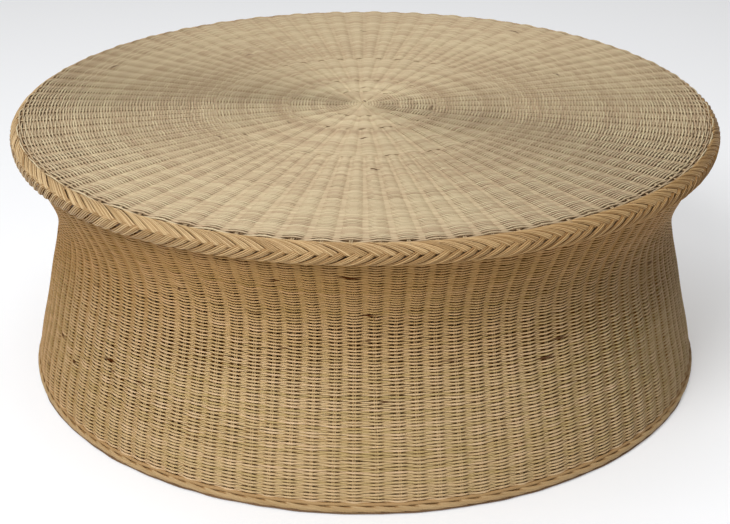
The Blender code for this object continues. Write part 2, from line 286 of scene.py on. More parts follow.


# ---------------------------------------------------------------------------
# Materials
# ---------------------------------------------------------------------------
# inner: the dark brown used for the painted shade in recesses and creases
def cane_material(name, pale, tan, dark, rough=0.55, bump=0.25, red=(0.50, 0.285, 0.13),
                  inner=(0.270, 0.105, 0.014), olive=(0.44, 0.34, 0.15), tone_amt=0.16):
    """Round core cane: tone changes from strand to strand, fine fibre lines run
    along it, faint blotches cross several strands, and stained stretches go brown."""
    mat = bpy.data.materials.new(name)
    mat.use_nodes = True
    nt = mat.node_tree
    for n in list(nt.nodes):
        nt.nodes.remove(n)
    N, L = nt.nodes.new, nt.links.new
    out = N("ShaderNodeOutputMaterial")
    bsdf = N("ShaderNodeBsdfPrincipled")
    L(bsdf.outputs[0], out.inputs[0])
    bsdf.inputs["Roughness"].default_value = rough
    bsdf.inputs["Specular IOR Level"].default_value = 0.20

    uv = N("ShaderNodeUVMap")
    uv.uv_map = "Strand"
    scale = N("ShaderNodeVectorMath")
    scale.operation = "MULTIPLY"
    scale.inputs[1].default_value = (55.0, 7.0, 1.0)
    L(uv.outputs[0], scale.inputs[0])
    fibre = N("ShaderNodeTexNoise")
    fibre.inputs["Scale"].default_value = 1.0
    fibre.inputs["Detail"].default_value = 3.0
    fibre.inputs["Roughness"].default_value = 0.6
    L(scale.outputs[0], fibre.inputs["Vector"])
    scale2 = N("ShaderNodeVectorMath")
    scale2.operation = "MULTIPLY"
    scale2.inputs[1].default_value = (3.2, 0.0, 1.0)
    L(uv.outputs[0], scale2.inputs[0])
    length = N("ShaderNodeTexNoise")
    length.inputs["Scale"].default_value = 1.0
    length.inputs["Detail"].default_value = 2.0
    L(scale2.outputs[0], length.inputs["Vector"])
    tc = N("ShaderNodeTexCoord")
    blotch = N("ShaderNodeTexNoise")
    blotch.inputs["Scale"].default_value = 9.0
    blotch.inputs["Detail"].default_value = 4.0
    blotch.inputs["Roughness"].default_value = 0.55
    L(tc.outputs["Object"], blotch.inputs["Vector"])

    tone = N("ShaderNodeAttribute")
    tone.attribute_name = "tone"
    stain = N("ShaderNodeAttribute")
    stain.attribute_name = "stain"
    deep = N("ShaderNodeAttribute")
    deep.attribute_name = "deep"

    def math_node(op, a, b, clamp=False):
        m = N("ShaderNodeMath")
        m.operation = op
        m.use_clamp = clamp
        for k, v in enumerate((a, b)):
            if isinstance(v, (int, float)):
                m.inputs[k].default_value = v
            else:
                L(v, m.inputs[k])
        return m.outputs[0]

    def mix(fac, a, b, mode="MIX"):
        m = N("ShaderNodeMix")
        m.data_type = "RGBA"
        m.blend_type = mode
        m.clamp_factor = True
        if isinstance(fac, (int, float)):
            m.inputs[0].default_value = fac
        else:
            L(fac, m.inputs[0])
        for k, v in ((6, a), (7, b)):
            if isinstance(v, tuple):
                m.inputs[k].default_value = (v[0], v[1], v[2], 1.0)
            else:
                L(v, m.inputs[k])
        return m.outputs[2]

    t0 = math_node("MULTIPLY", tone.outputs["Fac"], tone_amt)
    t1 = math_node("MULTIPLY_ADD", length.outputs["Fac"], 0.9)
    t1.node.inputs[2].default_value = -0.45
    t2 = math_node("MULTIPLY_ADD", blotch.outputs["Fac"], 0.8)
    t2.node.inputs[2].default_value = -0.40
    t3 = math_node("MULTIPLY_ADD", fibre.outputs["Fac"], 0.7)
    t3.node.inputs[2].default_value = -0.35
    total = math_node("ADD", math_node("ADD", t0, t1), math_node("ADD", t2, t3))
    total = math_node("ADD", total, 0.5, True)
    base = mix(total, tan, pale)
    # a reddish cast on some lengths
    rmask = math_node("MULTIPLY_ADD", length.outputs["Color"], 2.4)
    sep = N("ShaderNodeSeparateColor")
    L(length.outputs["Color"], sep.inputs[0])
    nt.links.remove(rmask.node.inputs[0].links[0])
    L(sep.outputs[1], rmask.node.inputs[0])
    rmask.node.inputs[2].default_value = -1.25
    rmask.node.use_clamp = True
    base = mix(math_node("MULTIPLY", rmask, 0.34), base, red)
    # and an olive one on others
    omask = math_node("MULTIPLY_ADD", sep.outputs[2], 2.6, True)
    omask.node.inputs[2].default_value = -1.30
    base = mix(math_node("MULTIPLY", omask, 0.30), base, olive)
    # thin darker pores and scratches along the fibre
    fine = N("ShaderNodeVectorMath")
    fine.operation = "MULTIPLY"
    fine.inputs[1].default_value = (180.0, 26.0, 1.0)
    L(uv.outputs[0], fine.inputs[0])
    pores = N("ShaderNodeTexNoise")
    pores.inputs["Scale"].default_value = 1.0
    pores.inputs["Detail"].default_value = 1.0
    L(fine.outputs[0], pores.inputs["Vector"])
    pm = N("ShaderNodeMapRange")
    pm.inputs["From Min"].default_value = 0.60
    pm.inputs["From Max"].default_value = 0.78
    L(pores.outputs["Fac"], pm.inputs["Value"])
    base = mix(math_node("MULTIPLY", pm.outputs[0], 0.35), base, dark)
    # painted shade: the tint attribute multiplies the cane towards a deeper yellow brown, up the wall under the rim, on
    # the far left of the drum and round the back of the rim
    aged = N("ShaderNodeAttribute")
    aged.attribute_name = "aged"
    base = mix(aged.outputs["Fac"], base, (0.72, 0.575, 0.390), "MULTIPLY")
    # painted shade: the recess mask colours the cane dark brown behind the stakes, in the creases and on the sides and
    # backs of the tubes, where shade falls
    base = mix(math_node("MULTIPLY", deep.outputs["Fac"], 0.93), base, inner)
    base = mix(stain.outputs["Fac"], base, (0.070, 0.020, 0.004))
    L(base, bsdf.inputs["Base Color"])

    rr = N("ShaderNodeMapRange")
    rr.inputs["To Min"].default_value = rough - 0.09
    rr.inputs["To Max"].default_value = rough + 0.12
    L(fibre.outputs["Fac"], rr.inputs["Value"])
    # the specular drops on stains and under the painted shade, and the roughness rises under the painted shade
    sheen = math_node("MULTIPLY_ADD", math_node("MAXIMUM", deep.outputs["Fac"], stain.outputs["Fac"]), -0.20, True)
    sheen.node.inputs[2].default_value = 0.20
    L(sheen, bsdf.inputs["Specular IOR Level"])
    dull = math_node("MULTIPLY_ADD", deep.outputs["Fac"], 0.35)
    L(rr.outputs[0], dull.node.inputs[2])
    L(dull, bsdf.inputs["Roughness"])
    bm = N("ShaderNodeBump")
    bm.inputs["Strength"].default_value = bump
    bm.inputs["Distance"].default_value = 0.0004
    L(fibre.outputs["Fac"], bm.inputs["Height"])
    L(bm.outputs[0], bsdf.inputs["Normal"])
    return mat


def pole_material(name):
    """Peeled rattan pole: blotchy tone, fine flecks and bump, varied sheen."""
    mat = bpy.data.materials.new(name)
    mat.use_nodes = True
    nt = mat.node_tree
    for n in list(nt.nodes):
        nt.nodes.remove(n)
    N, L = nt.nodes.new, nt.links.new
    out = N("ShaderNodeOutputMaterial")
    bsdf = N("ShaderNodeBsdfPrincipled")
    L(bsdf.outputs[0], out.inputs[0])
    tc = N("ShaderNodeTexCoord")
    big = N("ShaderNodeTexNoise")
    big.inputs["Scale"].default_value = 14.0
    big.inputs["Detail"].default_value = 5.0
    L(tc.outputs["Object"], big.inputs["Vector"])
    fine = N("ShaderNodeTexNoise")
    fine.inputs["Scale"].default_value = 320.0
    fine.inputs["Detail"].default_value = 3.0
    L(tc.outputs["Object"], fine.inputs["Vector"])
    ramp = N("ShaderNodeValToRGB")
    ramp.color_ramp.elements[0].position = 0.32
    ramp.color_ramp.elements[0].color = (0.27, 0.145, 0.058, 1)
    ramp.color_ramp.elements[1].position = 0.70
    ramp.color_ramp.elements[1].color = (0.56, 0.36, 0.175, 1)
    L(big.outputs["Fac"], ramp.inputs[0])
    mix = N("ShaderNodeMix")
    mix.data_type = "RGBA"
    mix.blend_type = "MULTIPLY"
    mix.inputs[0].default_value = 0.45
    L(ramp.outputs[0], mix.inputs[6])
    fr = N("ShaderNodeValToRGB")
    fr.color_ramp.elements[0].color = (0.45, 0.38, 0.30, 1)
    fr.color_ramp.elements[1].color = (1, 1, 1, 1)
    L(fine.outputs["Fac"], fr.inputs[0])
    L(fr.outputs[0], mix.inputs[7])
    L(mix.outputs[2], bsdf.inputs["Base Color"])
    mr = N("ShaderNodeMapRange")
    mr.inputs["To Min"].default_value = 0.34
    mr.inputs["To Max"].default_value = 0.62
    L(fine.outputs["Fac"], mr.inputs["Value"])
    L(mr.outputs[0], bsdf.inputs["Roughness"])
    bm = N("ShaderNodeBump")
    bm.inputs["Strength"].default_value = 0.2
    bm.inputs["Distance"].default_value = 0.0006
    L(fine.outputs["Fac"], bm.inputs["Height"])
    L(bm.outputs[0], bsdf.inputs["Normal"])
    return mat


def board_material(name, low, high, stretch):
    """Planed wood: figure stretched along the grain, short dark flecks, dull finish."""
    mat = bpy.data.materials.new(name)
    mat.use_nodes = True
    nt = mat.node_tree
    bsdf = nt.nodes.get("Principled BSDF")
    N, L = nt.nodes.new, nt.links.new
    tc = N("ShaderNodeTexCoord")
    st_ = N("ShaderNodeVectorMath")
    st_.operation = "MULTIPLY"
    st_.inputs[1].default_value = stretch
    L(tc.outputs["Object"], st_.inputs[0])
    grain = N("ShaderNodeTexNoise")
    grain.inputs["Scale"].default_value = 2.2
    grain.inputs["Detail"].default_value = 6.0
    grain.inputs["Distortion"].default_value = 0.8
    L(st_.outputs[0], grain.inputs["Vector"])
    ramp = N("ShaderNodeValToRGB")
    ramp.color_ramp.elements[0].position = 0.30
    ramp.color_ramp.elements[0].color = (*low, 1)
    ramp.color_ramp.elements[1].position = 0.68
    ramp.color_ramp.elements[1].color = (*high, 1)
    L(grain.outputs["Fac"], ramp.inputs[0])
    fleck = N("ShaderNodeTexNoise")
    fleck.inputs["Scale"].default_value = 260.0
    fleck.inputs["Detail"].default_value = 2.0
    L(tc.outputs["Object"], fleck.inputs["Vector"])
    fr = N("ShaderNodeValToRGB")
    fr.color_ramp.elements[0].position = 0.30
    fr.color_ramp.elements[0].color = (0.55, 0.45, 0.36, 1)
    fr.color_ramp.elements[1].position = 0.55
    fr.color_ramp.elements[1].color = (1, 1, 1, 1)
    L(fleck.outputs["Fac"], fr.inputs[0])
    mix = N("ShaderNodeMix")
    mix.data_type = "RGBA"
    mix.blend_type = "MULTIPLY"
    mix.inputs[0].default_value = 0.6
    L(ramp.outputs[0], mix.inputs[6])
    L(fr.outputs[0], mix.inputs[7])
    L(mix.outputs[2], bsdf.inputs["Base Color"])
    mr = N("ShaderNodeMapRange")
    mr.inputs["To Min"].default_value = 0.52
    mr.inputs["To Max"].default_value = 0.74
    L(grain.outputs["Fac"], mr.inputs["Value"])
    L(mr.outputs[0], bsdf.inputs["Roughness"])
    bm = N("ShaderNodeBump")
    bm.inputs["Strength"].default_value = 0.15
    bm.inputs["Distance"].default_value = 0.0004
    L(fleck.outputs["Fac"], bm.inputs["Height"])
    L(bm.outputs[0], bsdf.inputs["Normal"])
    return mat


def metal_material(name):
    mat = bpy.data.materials.new(name)
    mat.use_nodes = True
    nt = mat.node_tree
    bsdf = nt.nodes.get("Principled BSDF")
    N, L = nt.nodes.new, nt.links.new
    bsdf.inputs["Metallic"].default_value = 1.0
    tc = N("ShaderNodeTexCoord")
    noise = N("ShaderNodeTexNoise")
    noise.inputs["Scale"].default_value = 420.0
    noise.inputs["Detail"].default_value = 4.0
    L(tc.outputs["Object"], noise.inputs["Vector"])
    ramp = N("ShaderNodeValToRGB")
    ramp.color_ramp.elements[0].color = (0.36, 0.35, 0.32, 1)
    ramp.color_ramp.elements[1].color = (0.66, 0.66, 0.64, 1)
    L(noise.outputs["Fac"], ramp.inputs[0])
    L(ramp.outputs[0], bsdf.inputs["Base Color"])
    mr = N("ShaderNodeMapRange")
    mr.inputs["To Min"].default_value = 0.25
    mr.inputs["To Max"].default_value = 0.55
    L(noise.outputs["Fac"], mr.inputs["Value"])
    L(mr.outputs[0], bsdf.inputs["Roughness"])
    return mat


mat_top = cane_material("cane_top", (0.590, 0.488, 0.312), (0.440, 0.328, 0.205), (0.28, 0.18, 0.09), rough=0.54,
                        red=(0.50, 0.32, 0.20), olive=(0.42, 0.36, 0.19), tone_amt=0.24, inner=(0.19, 0.095, 0.034))
mat_side = cane_material("cane_side", (0.645, 0.462, 0.272), (0.455, 0.328, 0.136), (0.24, 0.130, 0.045), rough=0.54,
                         inner=(0.170, 0.062, 0.003))
mat_rim = cane_material("cane_rim", (0.63, 0.478, 0.275), (0.415, 0.288, 0.145), (0.22, 0.12, 0.05), rough=0.50,
                        tone_amt=0.40, inner=(0.230, 0.100, 0.024))
mat_foot = cane_material("cane_foot", (0.52, 0.37, 0.195), (0.35, 0.225, 0.100), (0.20, 0.11, 0.05), rough=0.56)
# near-black cane for the painted contact shadow under the foot
mat_contact_shadow = cane_material("cane_contact_shadow", (0.20, 0.115, 0.055), (0.10, 0.052, 0.024), (0.05, 0.026, 0.012), rough=0.6)
mat_stake = cane_material("cane_stake", (0.53, 0.375, 0.19), (0.38, 0.25, 0.11), (0.26, 0.15, 0.06), rough=0.54)
mat_pole = pole_material("rattan_pole")
mat_ply = board_material("birch_plywood", (0.50, 0.355, 0.195), (0.66, 0.52, 0.33), (0.9, 7.0, 60.0))
mat_beech = board_material("beech_dowel", (0.46, 0.29, 0.150), (0.62, 0.43, 0.25), (40.0, 40.0, 40.0))
mat_metal = metal_material("zinc_steel")


# ---------------------------------------------------------------------------
# Weaving
# ---------------------------------------------------------------------------
def strand_tones(rng, along_total, spread=1.0):
    """Tone as a function of distance along one long run of joined lengths."""
    cuts = [0.0]
    while cuts[-1] < along_total + 4.0:
        cuts.append(cuts[-1] + rng.uniform(0.7, 2.8))
    cuts = np.array(cuts)
    vals = rng.normal(0.0, spread, len(cuts))

    def f(d):
        return vals[np.clip(np.searchsorted(cuts, d, side="right") - 1, 0, len(vals) - 1)]
    return f


def stains(rng, along_total, count):
    """Short brown stretches at random places along the run."""
    at = np.sort(rng.uniform(0, along_total, count))
    half = rng.uniform(0.004, 0.016, count)
    dark = rng.uniform(0.35, 1.0, count)

    def f(d):
        k = np.clip(np.searchsorted(at, d), 1, len(at) - 1)
        out = np.zeros_like(d)
        for kk in (k - 1, k):
            x = np.abs(d - at[kk]) / half[kk]
            out = np.maximum(out, dark[kk] * np.clip(1.6 - 1.3 * x, 0.0, 1.0))
        return np.clip(out, 0, 1)
    return f


XS = np.array([0.0, 0.13, 0.27, 0.42, 0.58, 0.73, 0.87])


def weave(name, mer, n_stakes, s0, turns, pitch, amp, ru, rv, swell, mat, replaces,
          seed, warp_t, warp_s, first_row=0, jit=0.00012, stain_count=6, phase=0.0, tone_spread=1.0,
          row_s=None, deep_amt=0.85, amp_s=None, swell_s=None, deep_s=None, extra_shade_s=None,
          grow=True, edge=(0.0, 0.0), flat=0.05, aged_s=None, behind=0.0007, marks=(),
          ridge_shade=0.0, settle=None, pinch_s=None, aged_t=None, amp_t=0.0):
    """Plain weave round the drum. With an odd number of stakes one strand runs on in a
    spiral; with an even number each row closes on itself and the next one steps over."""
    rng = np.random.default_rng(seed)
    st = Strands(6)
    odd = n_stakes % 2 == 1
    jw = [wavy(rng, 5, 3, 34) for _ in range(5)]
    cols = n_stakes * turns
    mid = s0 + pitch * turns / 2 if row_s is None else row_s(s0 + turns / 2)
    length = cols * TAU * float(np.interp(mid, mer.s, mer.R)) / n_stakes
    tone_f = strand_tones(rng, length * 1.3 + 4, tone_spread)
    stain_f = stains(rng, length * 1.1, max(2, stain_count))

    def place(x, rowf, parity):
        theta = TAU * x / n_stakes
        theta_w = np.mod(theta + math.pi, TAU) - math.pi
        s = s0 + pitch * rowf if row_s is None else row_s(s0 + rowf)
        row = np.floor(rowf + 1e-6).astype(int)
        j = np.zeros_like(theta)
        for k, f in enumerate(jw):
            j = j + f(theta, row * 0.37 * (k + 1))
        g = wave(x + parity, flat)
        s = s + jit * j + warp_s(theta, s)
        near = (edge[0] > 0.0) * np.exp(-np.maximum(rowf, 0.0) / 0.7) + (edge[1] > 0.0) * np.exp(-np.maximum(turns - 1 - rowf, 0.0) / 0.7)
        g = g * (1.0 - max(edge) * near)
        turn = np.clip(np.sin(theta) ** 2 * 2.6 - 0.06, 0.0, 1.0) * (amp_t > 0.0)
        body = 0.1 + 0.9 * np.clip((0.21 - s) / 0.07, 0.0, 1.0)
        a_ = amp * (amp_s(s) if amp_s else 1.0) * (1.0 + amp_t * turn * body)
        off = a_ * g
        th = theta + warp_t(theta, s) + phase
        R, Z, a, b = mer.at(s, off)
        P = np.stack([R * np.sin(th), -R * np.cos(th), Z], -1)
        if settle:
            P = settle(P)
        Nn = np.stack([a * np.sin(th), -a * np.cos(th), b], -1)
        k = np.ones_like(s)
        if row_s is not None and grow:
            k = (row_s(s0 + rowf + 0.5) - row_s(s0 + rowf - 0.5)) / pitch
        # painted shade: the strand stretches that pass behind the stakes, more on the turns at the sides of the drum,
        # are coloured dark where shade falls; an optional extra term adds painted shade by height
        dp = deep_amt * (deep_s(s) if deep_s else 1.0) * (1.0 + 0.60 * turn) * np.clip((-g - 0.15 + 0.26 * turn) / (0.60 - 0.15 * turn), 0.0, 1.0) * (1.0 - 0.6 * np.clip(near, 0.0, 1.0))
        dp = np.clip(dp, 0.0, 1.0)
        if extra_shade_s:
            dp = dp + (1.0 - dp) * extra_shade_s(s)
        w = rv + np.where(g < 0.0, np.maximum(behind, 0.0) * -g, (swell_s(s) if swell_s else swell) * g)
        if pinch_s:
            far = np.clip((np.abs(theta_w) - 0.5) / 0.4, 0.0, 1.0) * (1.0 - body)
            thin = pinch_s(s) * (1.0 - far) - 0.20 * far + 0.02 * turn * body
            shut = np.clip((np.abs(theta_w) - 1.75) / 0.35, 0.0, 1.0)
            lid = np.clip((np.abs(theta_w) - 0.9) / 0.3, 0.0, 1.0) * (1.0 - body)
            w = w * (1.0 - thin * (1.0 - np.abs(g))) * (1.0 + np.maximum(0.13 * shut, 0.09 * lid))
        ag = aged_s(s) if aged_s else np.zeros_like(s)
        if aged_t:
            ag = np.clip(ag + aged_t(theta_w), 0.0, 1.0)
        mk = np.zeros_like(s)
        for t0, m0, half in marks:
            mk = np.maximum(mk, np.exp(-((theta_w - t0) * R / half) ** 4) * (np.abs(s - m0) < 0.00115))
        # ridge term: painted light and shade on the tone, lighter on the humps over and behind the stakes and darker
        # where neighbouring rows cross between them
        return P, Nn, w, k, dp, ag, mk, ridge_shade * (np.abs(g) - 0.6)

    if odd:
        x = (np.arange(cols)[:, None] + XS[None, :]).reshape(-1)
        x = np.append(x, float(cols))
        P, Nn, w, k, dp, ag, mk, rt = place(x, x / n_stakes, first_row % 2)
        d = np.concatenate([[0.0], np.cumsum(np.linalg.norm(np.diff(P, axis=0), axis=1))])
        st.add(P, Nn, ru * k ** 0.7, w * k, False, tone_f(d) + rt, np.maximum(stain_f(d), mk), dp, aged=ag)
    else:
        d0 = 0.0
        for r in range(turns):
            x = (np.arange(n_stakes)[:, None] + XS[None, :]).reshape(-1)
            P, Nn, w, k, dp, ag, mk, rt = place(x, np.full_like(x, float(r)), (first_row + r) % 2)
            d = d0 + np.concatenate([[0.0], np.cumsum(np.linalg.norm(np.diff(P, axis=0), axis=1))])
            st.add(P, Nn, ru * k ** 0.7, w * k, True, tone_f(d) + rt, np.maximum(stain_f(d), mk), dp, along0=d0, aged=ag)
            d0 = d[-1] + 0.01
    return st.build(name, mat, replaces)


def stake_pairs(name, mer, angles, s_from, s_to, rod, mat, seed, warp_t, warp_s,
                n_stakes, phase=0.0, steps=26, sides=6, taper=None, off=0.0, aged_s=None, settle=None, deep_s=None):
    rng = np.random.default_rng(seed)
    st = Strands(sides)
    for a in angles:
        for side in (-1.0, 1.0):
            s = np.linspace(s_from, s_to, steps)
            R, Z, na, nb = mer.at(s, off + 0.00015 * np.sin(s * 60 + rng.uniform(0, 6)))
            th = a + warp_t(np.full_like(s, a), s) + phase
            gap = rod * 1.06 * (taper(s) if taper else 1.0)
            th = th + side * gap / np.maximum(R, 0.004) + rng.normal(0, 0.00010) / np.maximum(R, 0.02)
            P = np.stack([R * np.sin(th), -R * np.cos(th), Z], -1)
            if settle:
                P = settle(P)
            Nn = np.stack([na * np.sin(th), -na * np.cos(th), nb], -1)
            rr = rod * (taper(s) if taper else 1.0)
            st.add(P, Nn, rr, rr, False, rng.normal(0.2, 0.8), 0.0, deep_s(s) if deep_s else 0.0, along0=rng.uniform(0, 9),
                   aged=aged_s(s) if aged_s else 0.0)
    return st.build(name, mat, ())


# ------------------------------------------------------------------ side wall
N_SIDE = 111
ROW_SIDE = 0.00217
AMP_SIDE = 0.00232
zs, rs = profile_of("side_weave")
zi = np.linspace(zs[0], zs[-1], 240)
ri = smooth_curve(zs, rs, zi) - 0.0036
wall = Meridian(ri, zi)
rng_w = np.random.default_rng(11)
_wt1 = wavy(rng_w, 9, 2, 26)
_wt2 = wavy(rng_w, 14, 20, 90)
_ws1 = wavy(rng_w, 8, 1, 9)
_ws2 = wavy(rng_w, 10, 8, 40)


def side_t(theta, s):
    return 0.0022 * _wt1(theta, s * 0.9) + 0.0022 * _wt2(theta, s * 0.5)


def side_s(theta, s):
    fade = np.clip(np.minimum(s, wall.length - s) / 0.02, 0.0, 1.0)
    return fade * (0.0010 * _ws1(theta, s * 3.0) + 0.00045 * _ws2(theta, s * 5.0))


# the rows are beaten down a little tighter at the waist than on the flare
_ps = np.linspace(0.0, wall.length, 400)
_pz = np.interp(_ps, wall.s, wall.Z)
_pp = np.interp(_pz, [0.0, 0.06, 0.12, 0.20, 0.25, 0.275, 0.31, 0.345],
                [0.00222, 0.00221, 0.00219, 0.00221, 0.00220, 0.00222, 0.00226, 0.00228])
_pc = np.concatenate([[0.0], np.cumsum(np.diff(_ps) * 2.0 / (_pp[1:] + _pp[:-1]))])


def side_row_s(row):
    return np.interp(row, _pc, _ps) + np.maximum(0.0, row - _pc[-1]) * 0.0026 + np.minimum(0.0, row) * 0.0022


PH_SIDE = math.pi / N_SIDE


def by_height(table):
    """A value given at a few heights of the wall, as a function of the distance up it."""
    hz, hv = zip(*table)
    val = np.interp(_pz, hz, hv)

    def f(s):
        return np.interp(s, _ps, val)
    return f


side_amp = by_height([(0.0, 0.66), (0.06, 0.70), (0.12, 0.74), (0.15, 0.82), (0.18, 0.96), (0.20, 1.0), (0.25, 1.0), (0.29, 0.78),
                      (0.345, 0.64)])
side_swell = by_height([(0.0, 0.00046), (0.06, 0.00044), (0.12, 0.00036), (0.15, 0.00028), (0.18, 0.00014), (0.24, 0.00012),
                        (0.27, 0.00018), (0.30, 0.00030), (0.345, 0.00036)])
# painted shade in the recesses, given by height up the wall
side_deep = by_height([(0.0, 0.66), (0.06, 0.68), (0.12, 0.70), (0.15, 0.84), (0.18, 1.05), (0.28, 1.05), (0.31, 0.90), (0.345, 0.85)])
# painted shade: the wall is tinted browner towards the top, most on the flare under the rim
side_aged = by_height([(0.0, 0.02), (0.10, 0.0), (0.15, 0.05), (0.18, 0.20), (0.21, 0.40), (0.26, 0.72), (0.30, 0.95), (0.345, 1.0)])

side_pinch = by_height([(0.0, 0.03), (0.10, 0.05), (0.15, 0.08), (0.18, 0.10), (0.24, 0.10), (0.28, 0.04), (0.345, 0.0)])


def side_aged_t(theta):
    """Painted shade: the far left side of the drum is tinted browner."""
    return 0.78 * np.exp(-((theta + 1.50) / 0.56) ** 2)


# a few lengths burnt brown by the skin left on the cane
side_marks = [(-0.0375 - PH_SIDE, float(np.interp(0.3203, _pz, _ps)) - 0.0011, 0.0130),
              (-0.58, float(np.interp(0.262, _pz, _ps)), 0.0060), (0.33, float(np.interp(0.118, _pz, _ps)), 0.0055),
              (0.86, float(np.interp(0.300, _pz, _ps)), 0.0080), (-1.02, float(np.interp(0.090, _pz, _ps)), 0.0060)]

side_rows = int(_pc[-1] - 0.2)
bands = 7
done = 0
for b in range(bands):
    t = side_rows * (b + 1) // bands - done
    weave("side_weave_band_%02d" % (b + 1), wall, N_SIDE, 0.35 + done, t, ROW_SIDE,
          AMP_SIDE, 0.00108, 0.00111, 0.0, mat_side, ("side_weave",),
          100 + b, side_t, side_s, first_row=(done * N_SIDE) % 2, stain_count=12, row_s=side_row_s,
          jit=0.00013, phase=PH_SIDE, amp_s=side_amp, swell_s=side_swell, deep_s=side_deep, aged_s=side_aged,
          marks=side_marks, ridge_shade=0.9, pinch_s=side_pinch, aged_t=side_aged_t,
          amp_t=0.42)
    done += t
stake_pairs("side_stakes", wall, TAU * np.arange(N_SIDE) / N_SIDE, 0.0, wall.length, 0.00122,
            mat_stake, 201, side_t, side_s, N_SIDE, phase=PH_SIDE, steps=30, aged_s=side_aged,
            off=0.0001)

# ------------------------------------------------------------------ top
ROW_TOP = 0.00210
AMP_TOP = 0.00200
R_EDGE = RIM_R - 0.0110
RC = RIM_R - RIM_HR                            # where the rim starts to fall away
TOP_MID = TOP_Z - 0.0022


def top_height(r):
    over = np.clip((r - RC) / RIM_HR, 0.0, 0.98)
    return TOP_MID + 0.0024 * (1.0 - (r / R_EDGE) ** 2) - RIM_HZ * (1.0 - np.sqrt(1.0 - over * over))


rr_ = np.linspace(0.0015, R_EDGE + 0.0085, 400)
disc = Meridian(rr_, top_height(rr_), flip=True)
rng_t = np.random.default_rng(23)
_tt1 = wavy(rng_t, 8, 2, 16)
_ts1 = wavy(rng_t, 8, 1, 8)


def top_t(theta, s):
    return 0.0030 * _tt1(theta, s * 0.6)


zones = [(11, 0.0040, 0.0545), (23, 0.0545, 0.1070), (45, 0.1070, 0.2150), (90, 0.2150, R_EDGE)]
S_EDGE = float(np.interp(R_EDGE, disc.R, disc.s))


def top_s(theta, s):
    fade = np.clip(s / 0.05, 0.0, 1.0) * np.clip((S_EDGE - s) / 0.03, 0.0, 1.0)
    out = fade * 0.0008 * _ts1(theta, s * 4.0)
    # the rows part a little where a new pair of spokes is let in
    for n, r0, r1 in zones[1:]:
        sb = r0 - rr_[0]
        x = np.mod(theta * n / TAU - 1.0, 2.0)
        x = np.where(x > 1.0, x - 2.0, x)
        away = s - sb
        out = out + 0.00055 * np.sign(away) * np.exp(-np.abs(away) / 0.0026) * np.exp(-(x / 0.10) ** 2)
    # the weave reaches a little further out at the two sides than in front
    return out + ease((s - S_EDGE + 0.06) / 0.06) * (0.0052 * np.sin(theta) ** 2 - 0.0018)


def top_settle(P):
    """The middle of the disc was started a little off its true centre."""
    P = np.array(P)
    near = np.clip(1.0 - np.hypot(P[..., 0], P[..., 1]) / R_EDGE, 0.0, 1.0) ** 1.5
    P[..., 0] -= 0.0040 * near
    P[..., 1] -= 0.0070 * near
    return P


# the last rows before the plait lie further apart
_ts = np.linspace(0.0, S_EDGE + 0.004, 900)
_tp = np.interp(_ts, [0.0, S_EDGE - 0.0155, S_EDGE - 0.0100, S_EDGE], [ROW_TOP, ROW_TOP, 0.0029, 0.0030])
_tc = np.concatenate([[0.0], np.cumsum(np.diff(_ts) * 2.0 / (_tp[1:] + _tp[:-1]))])


def top_row_s(row):
    return np.interp(row, _tc, _ts) + np.maximum(0.0, row - _tc[-1]) * 0.003 + np.minimum(0.0, row) * ROW_TOP


def top_swell(s):
    return np.interp(s, [0.0, S_EDGE - 0.014, S_EDGE - 0.009, S_EDGE], [0.00038, 0.00034, 0.00006, 0.0])


row0 = 0.0
for zi_, (n, r0, r1) in enumerate(zones):
    first = float(np.interp(r0 - rr_[0], _ts, _tc))
    last = float(np.interp(r1 - rr_[0], _ts, _tc)) if n < 90 else _tc[np.searchsorted(_ts, S_EDGE) - 1]
    rows = int(round(last - first))
    if zi_:
        first = row0
    parts = 4 if n == 90 else 1
    done = 0
    for p in range(parts):
        t = rows * (p + 1) // parts - done
        nm = "top_weave_ring_%02d" % (zi_ + 1 + p)
        weave(nm, disc, n, first + done, t, ROW_TOP, AMP_TOP, 0.00102, 0.00106, 0.00022,
              mat_top, ("top_weave",), 300 + zi_ * 10 + p, top_t, top_s,
              first_row=done, stain_count=4 if n > 30 else 2, tone_spread=1.2, row_s=top_row_s, grow=False,
              swell_s=top_swell, deep_amt=0.66, edge=(0.15 if zi_ and p == 0 else 0.0, 0.15 if n < 90 and p == parts - 1 else 0.0),
              phase=math.pi / 90.0, ridge_shade=1.1, settle=top_settle)
        done += t
    row0 = first + rows
    # painted shade: the spoke ends run dark where they go in under the plait
    stake_pairs("top_spokes_%02d" % (zi_ + 1), disc, TAU * np.arange(n) / n, r0 - rr_[0] - 0.001 if zi_ else 0.001,
                (r1 - rr_[0] + 0.0012) if n < 90 else S_EDGE + 0.005, 0.00112, mat_top,
                400 + zi_, top_t, top_s, n, steps=14 if n < 90 else 30, phase=math.pi / 90.0,
                settle=top_settle, deep_s=lambda s: 0.9 * ease((s - S_EDGE + 0.0065) / 0.0035))

# ------------------------------------------------------------------ rim plait
N_PLAIT = 180
RODS_UP, RODS_DN = 4, 4
ROD_UP, ROD_DN = 0.00104, 0.00108
pitch_a = TAU / N_PLAIT
PSI_A, PSI_B = -3.0, 18.8                      # low and high corners of the zigzag where the two sides meet


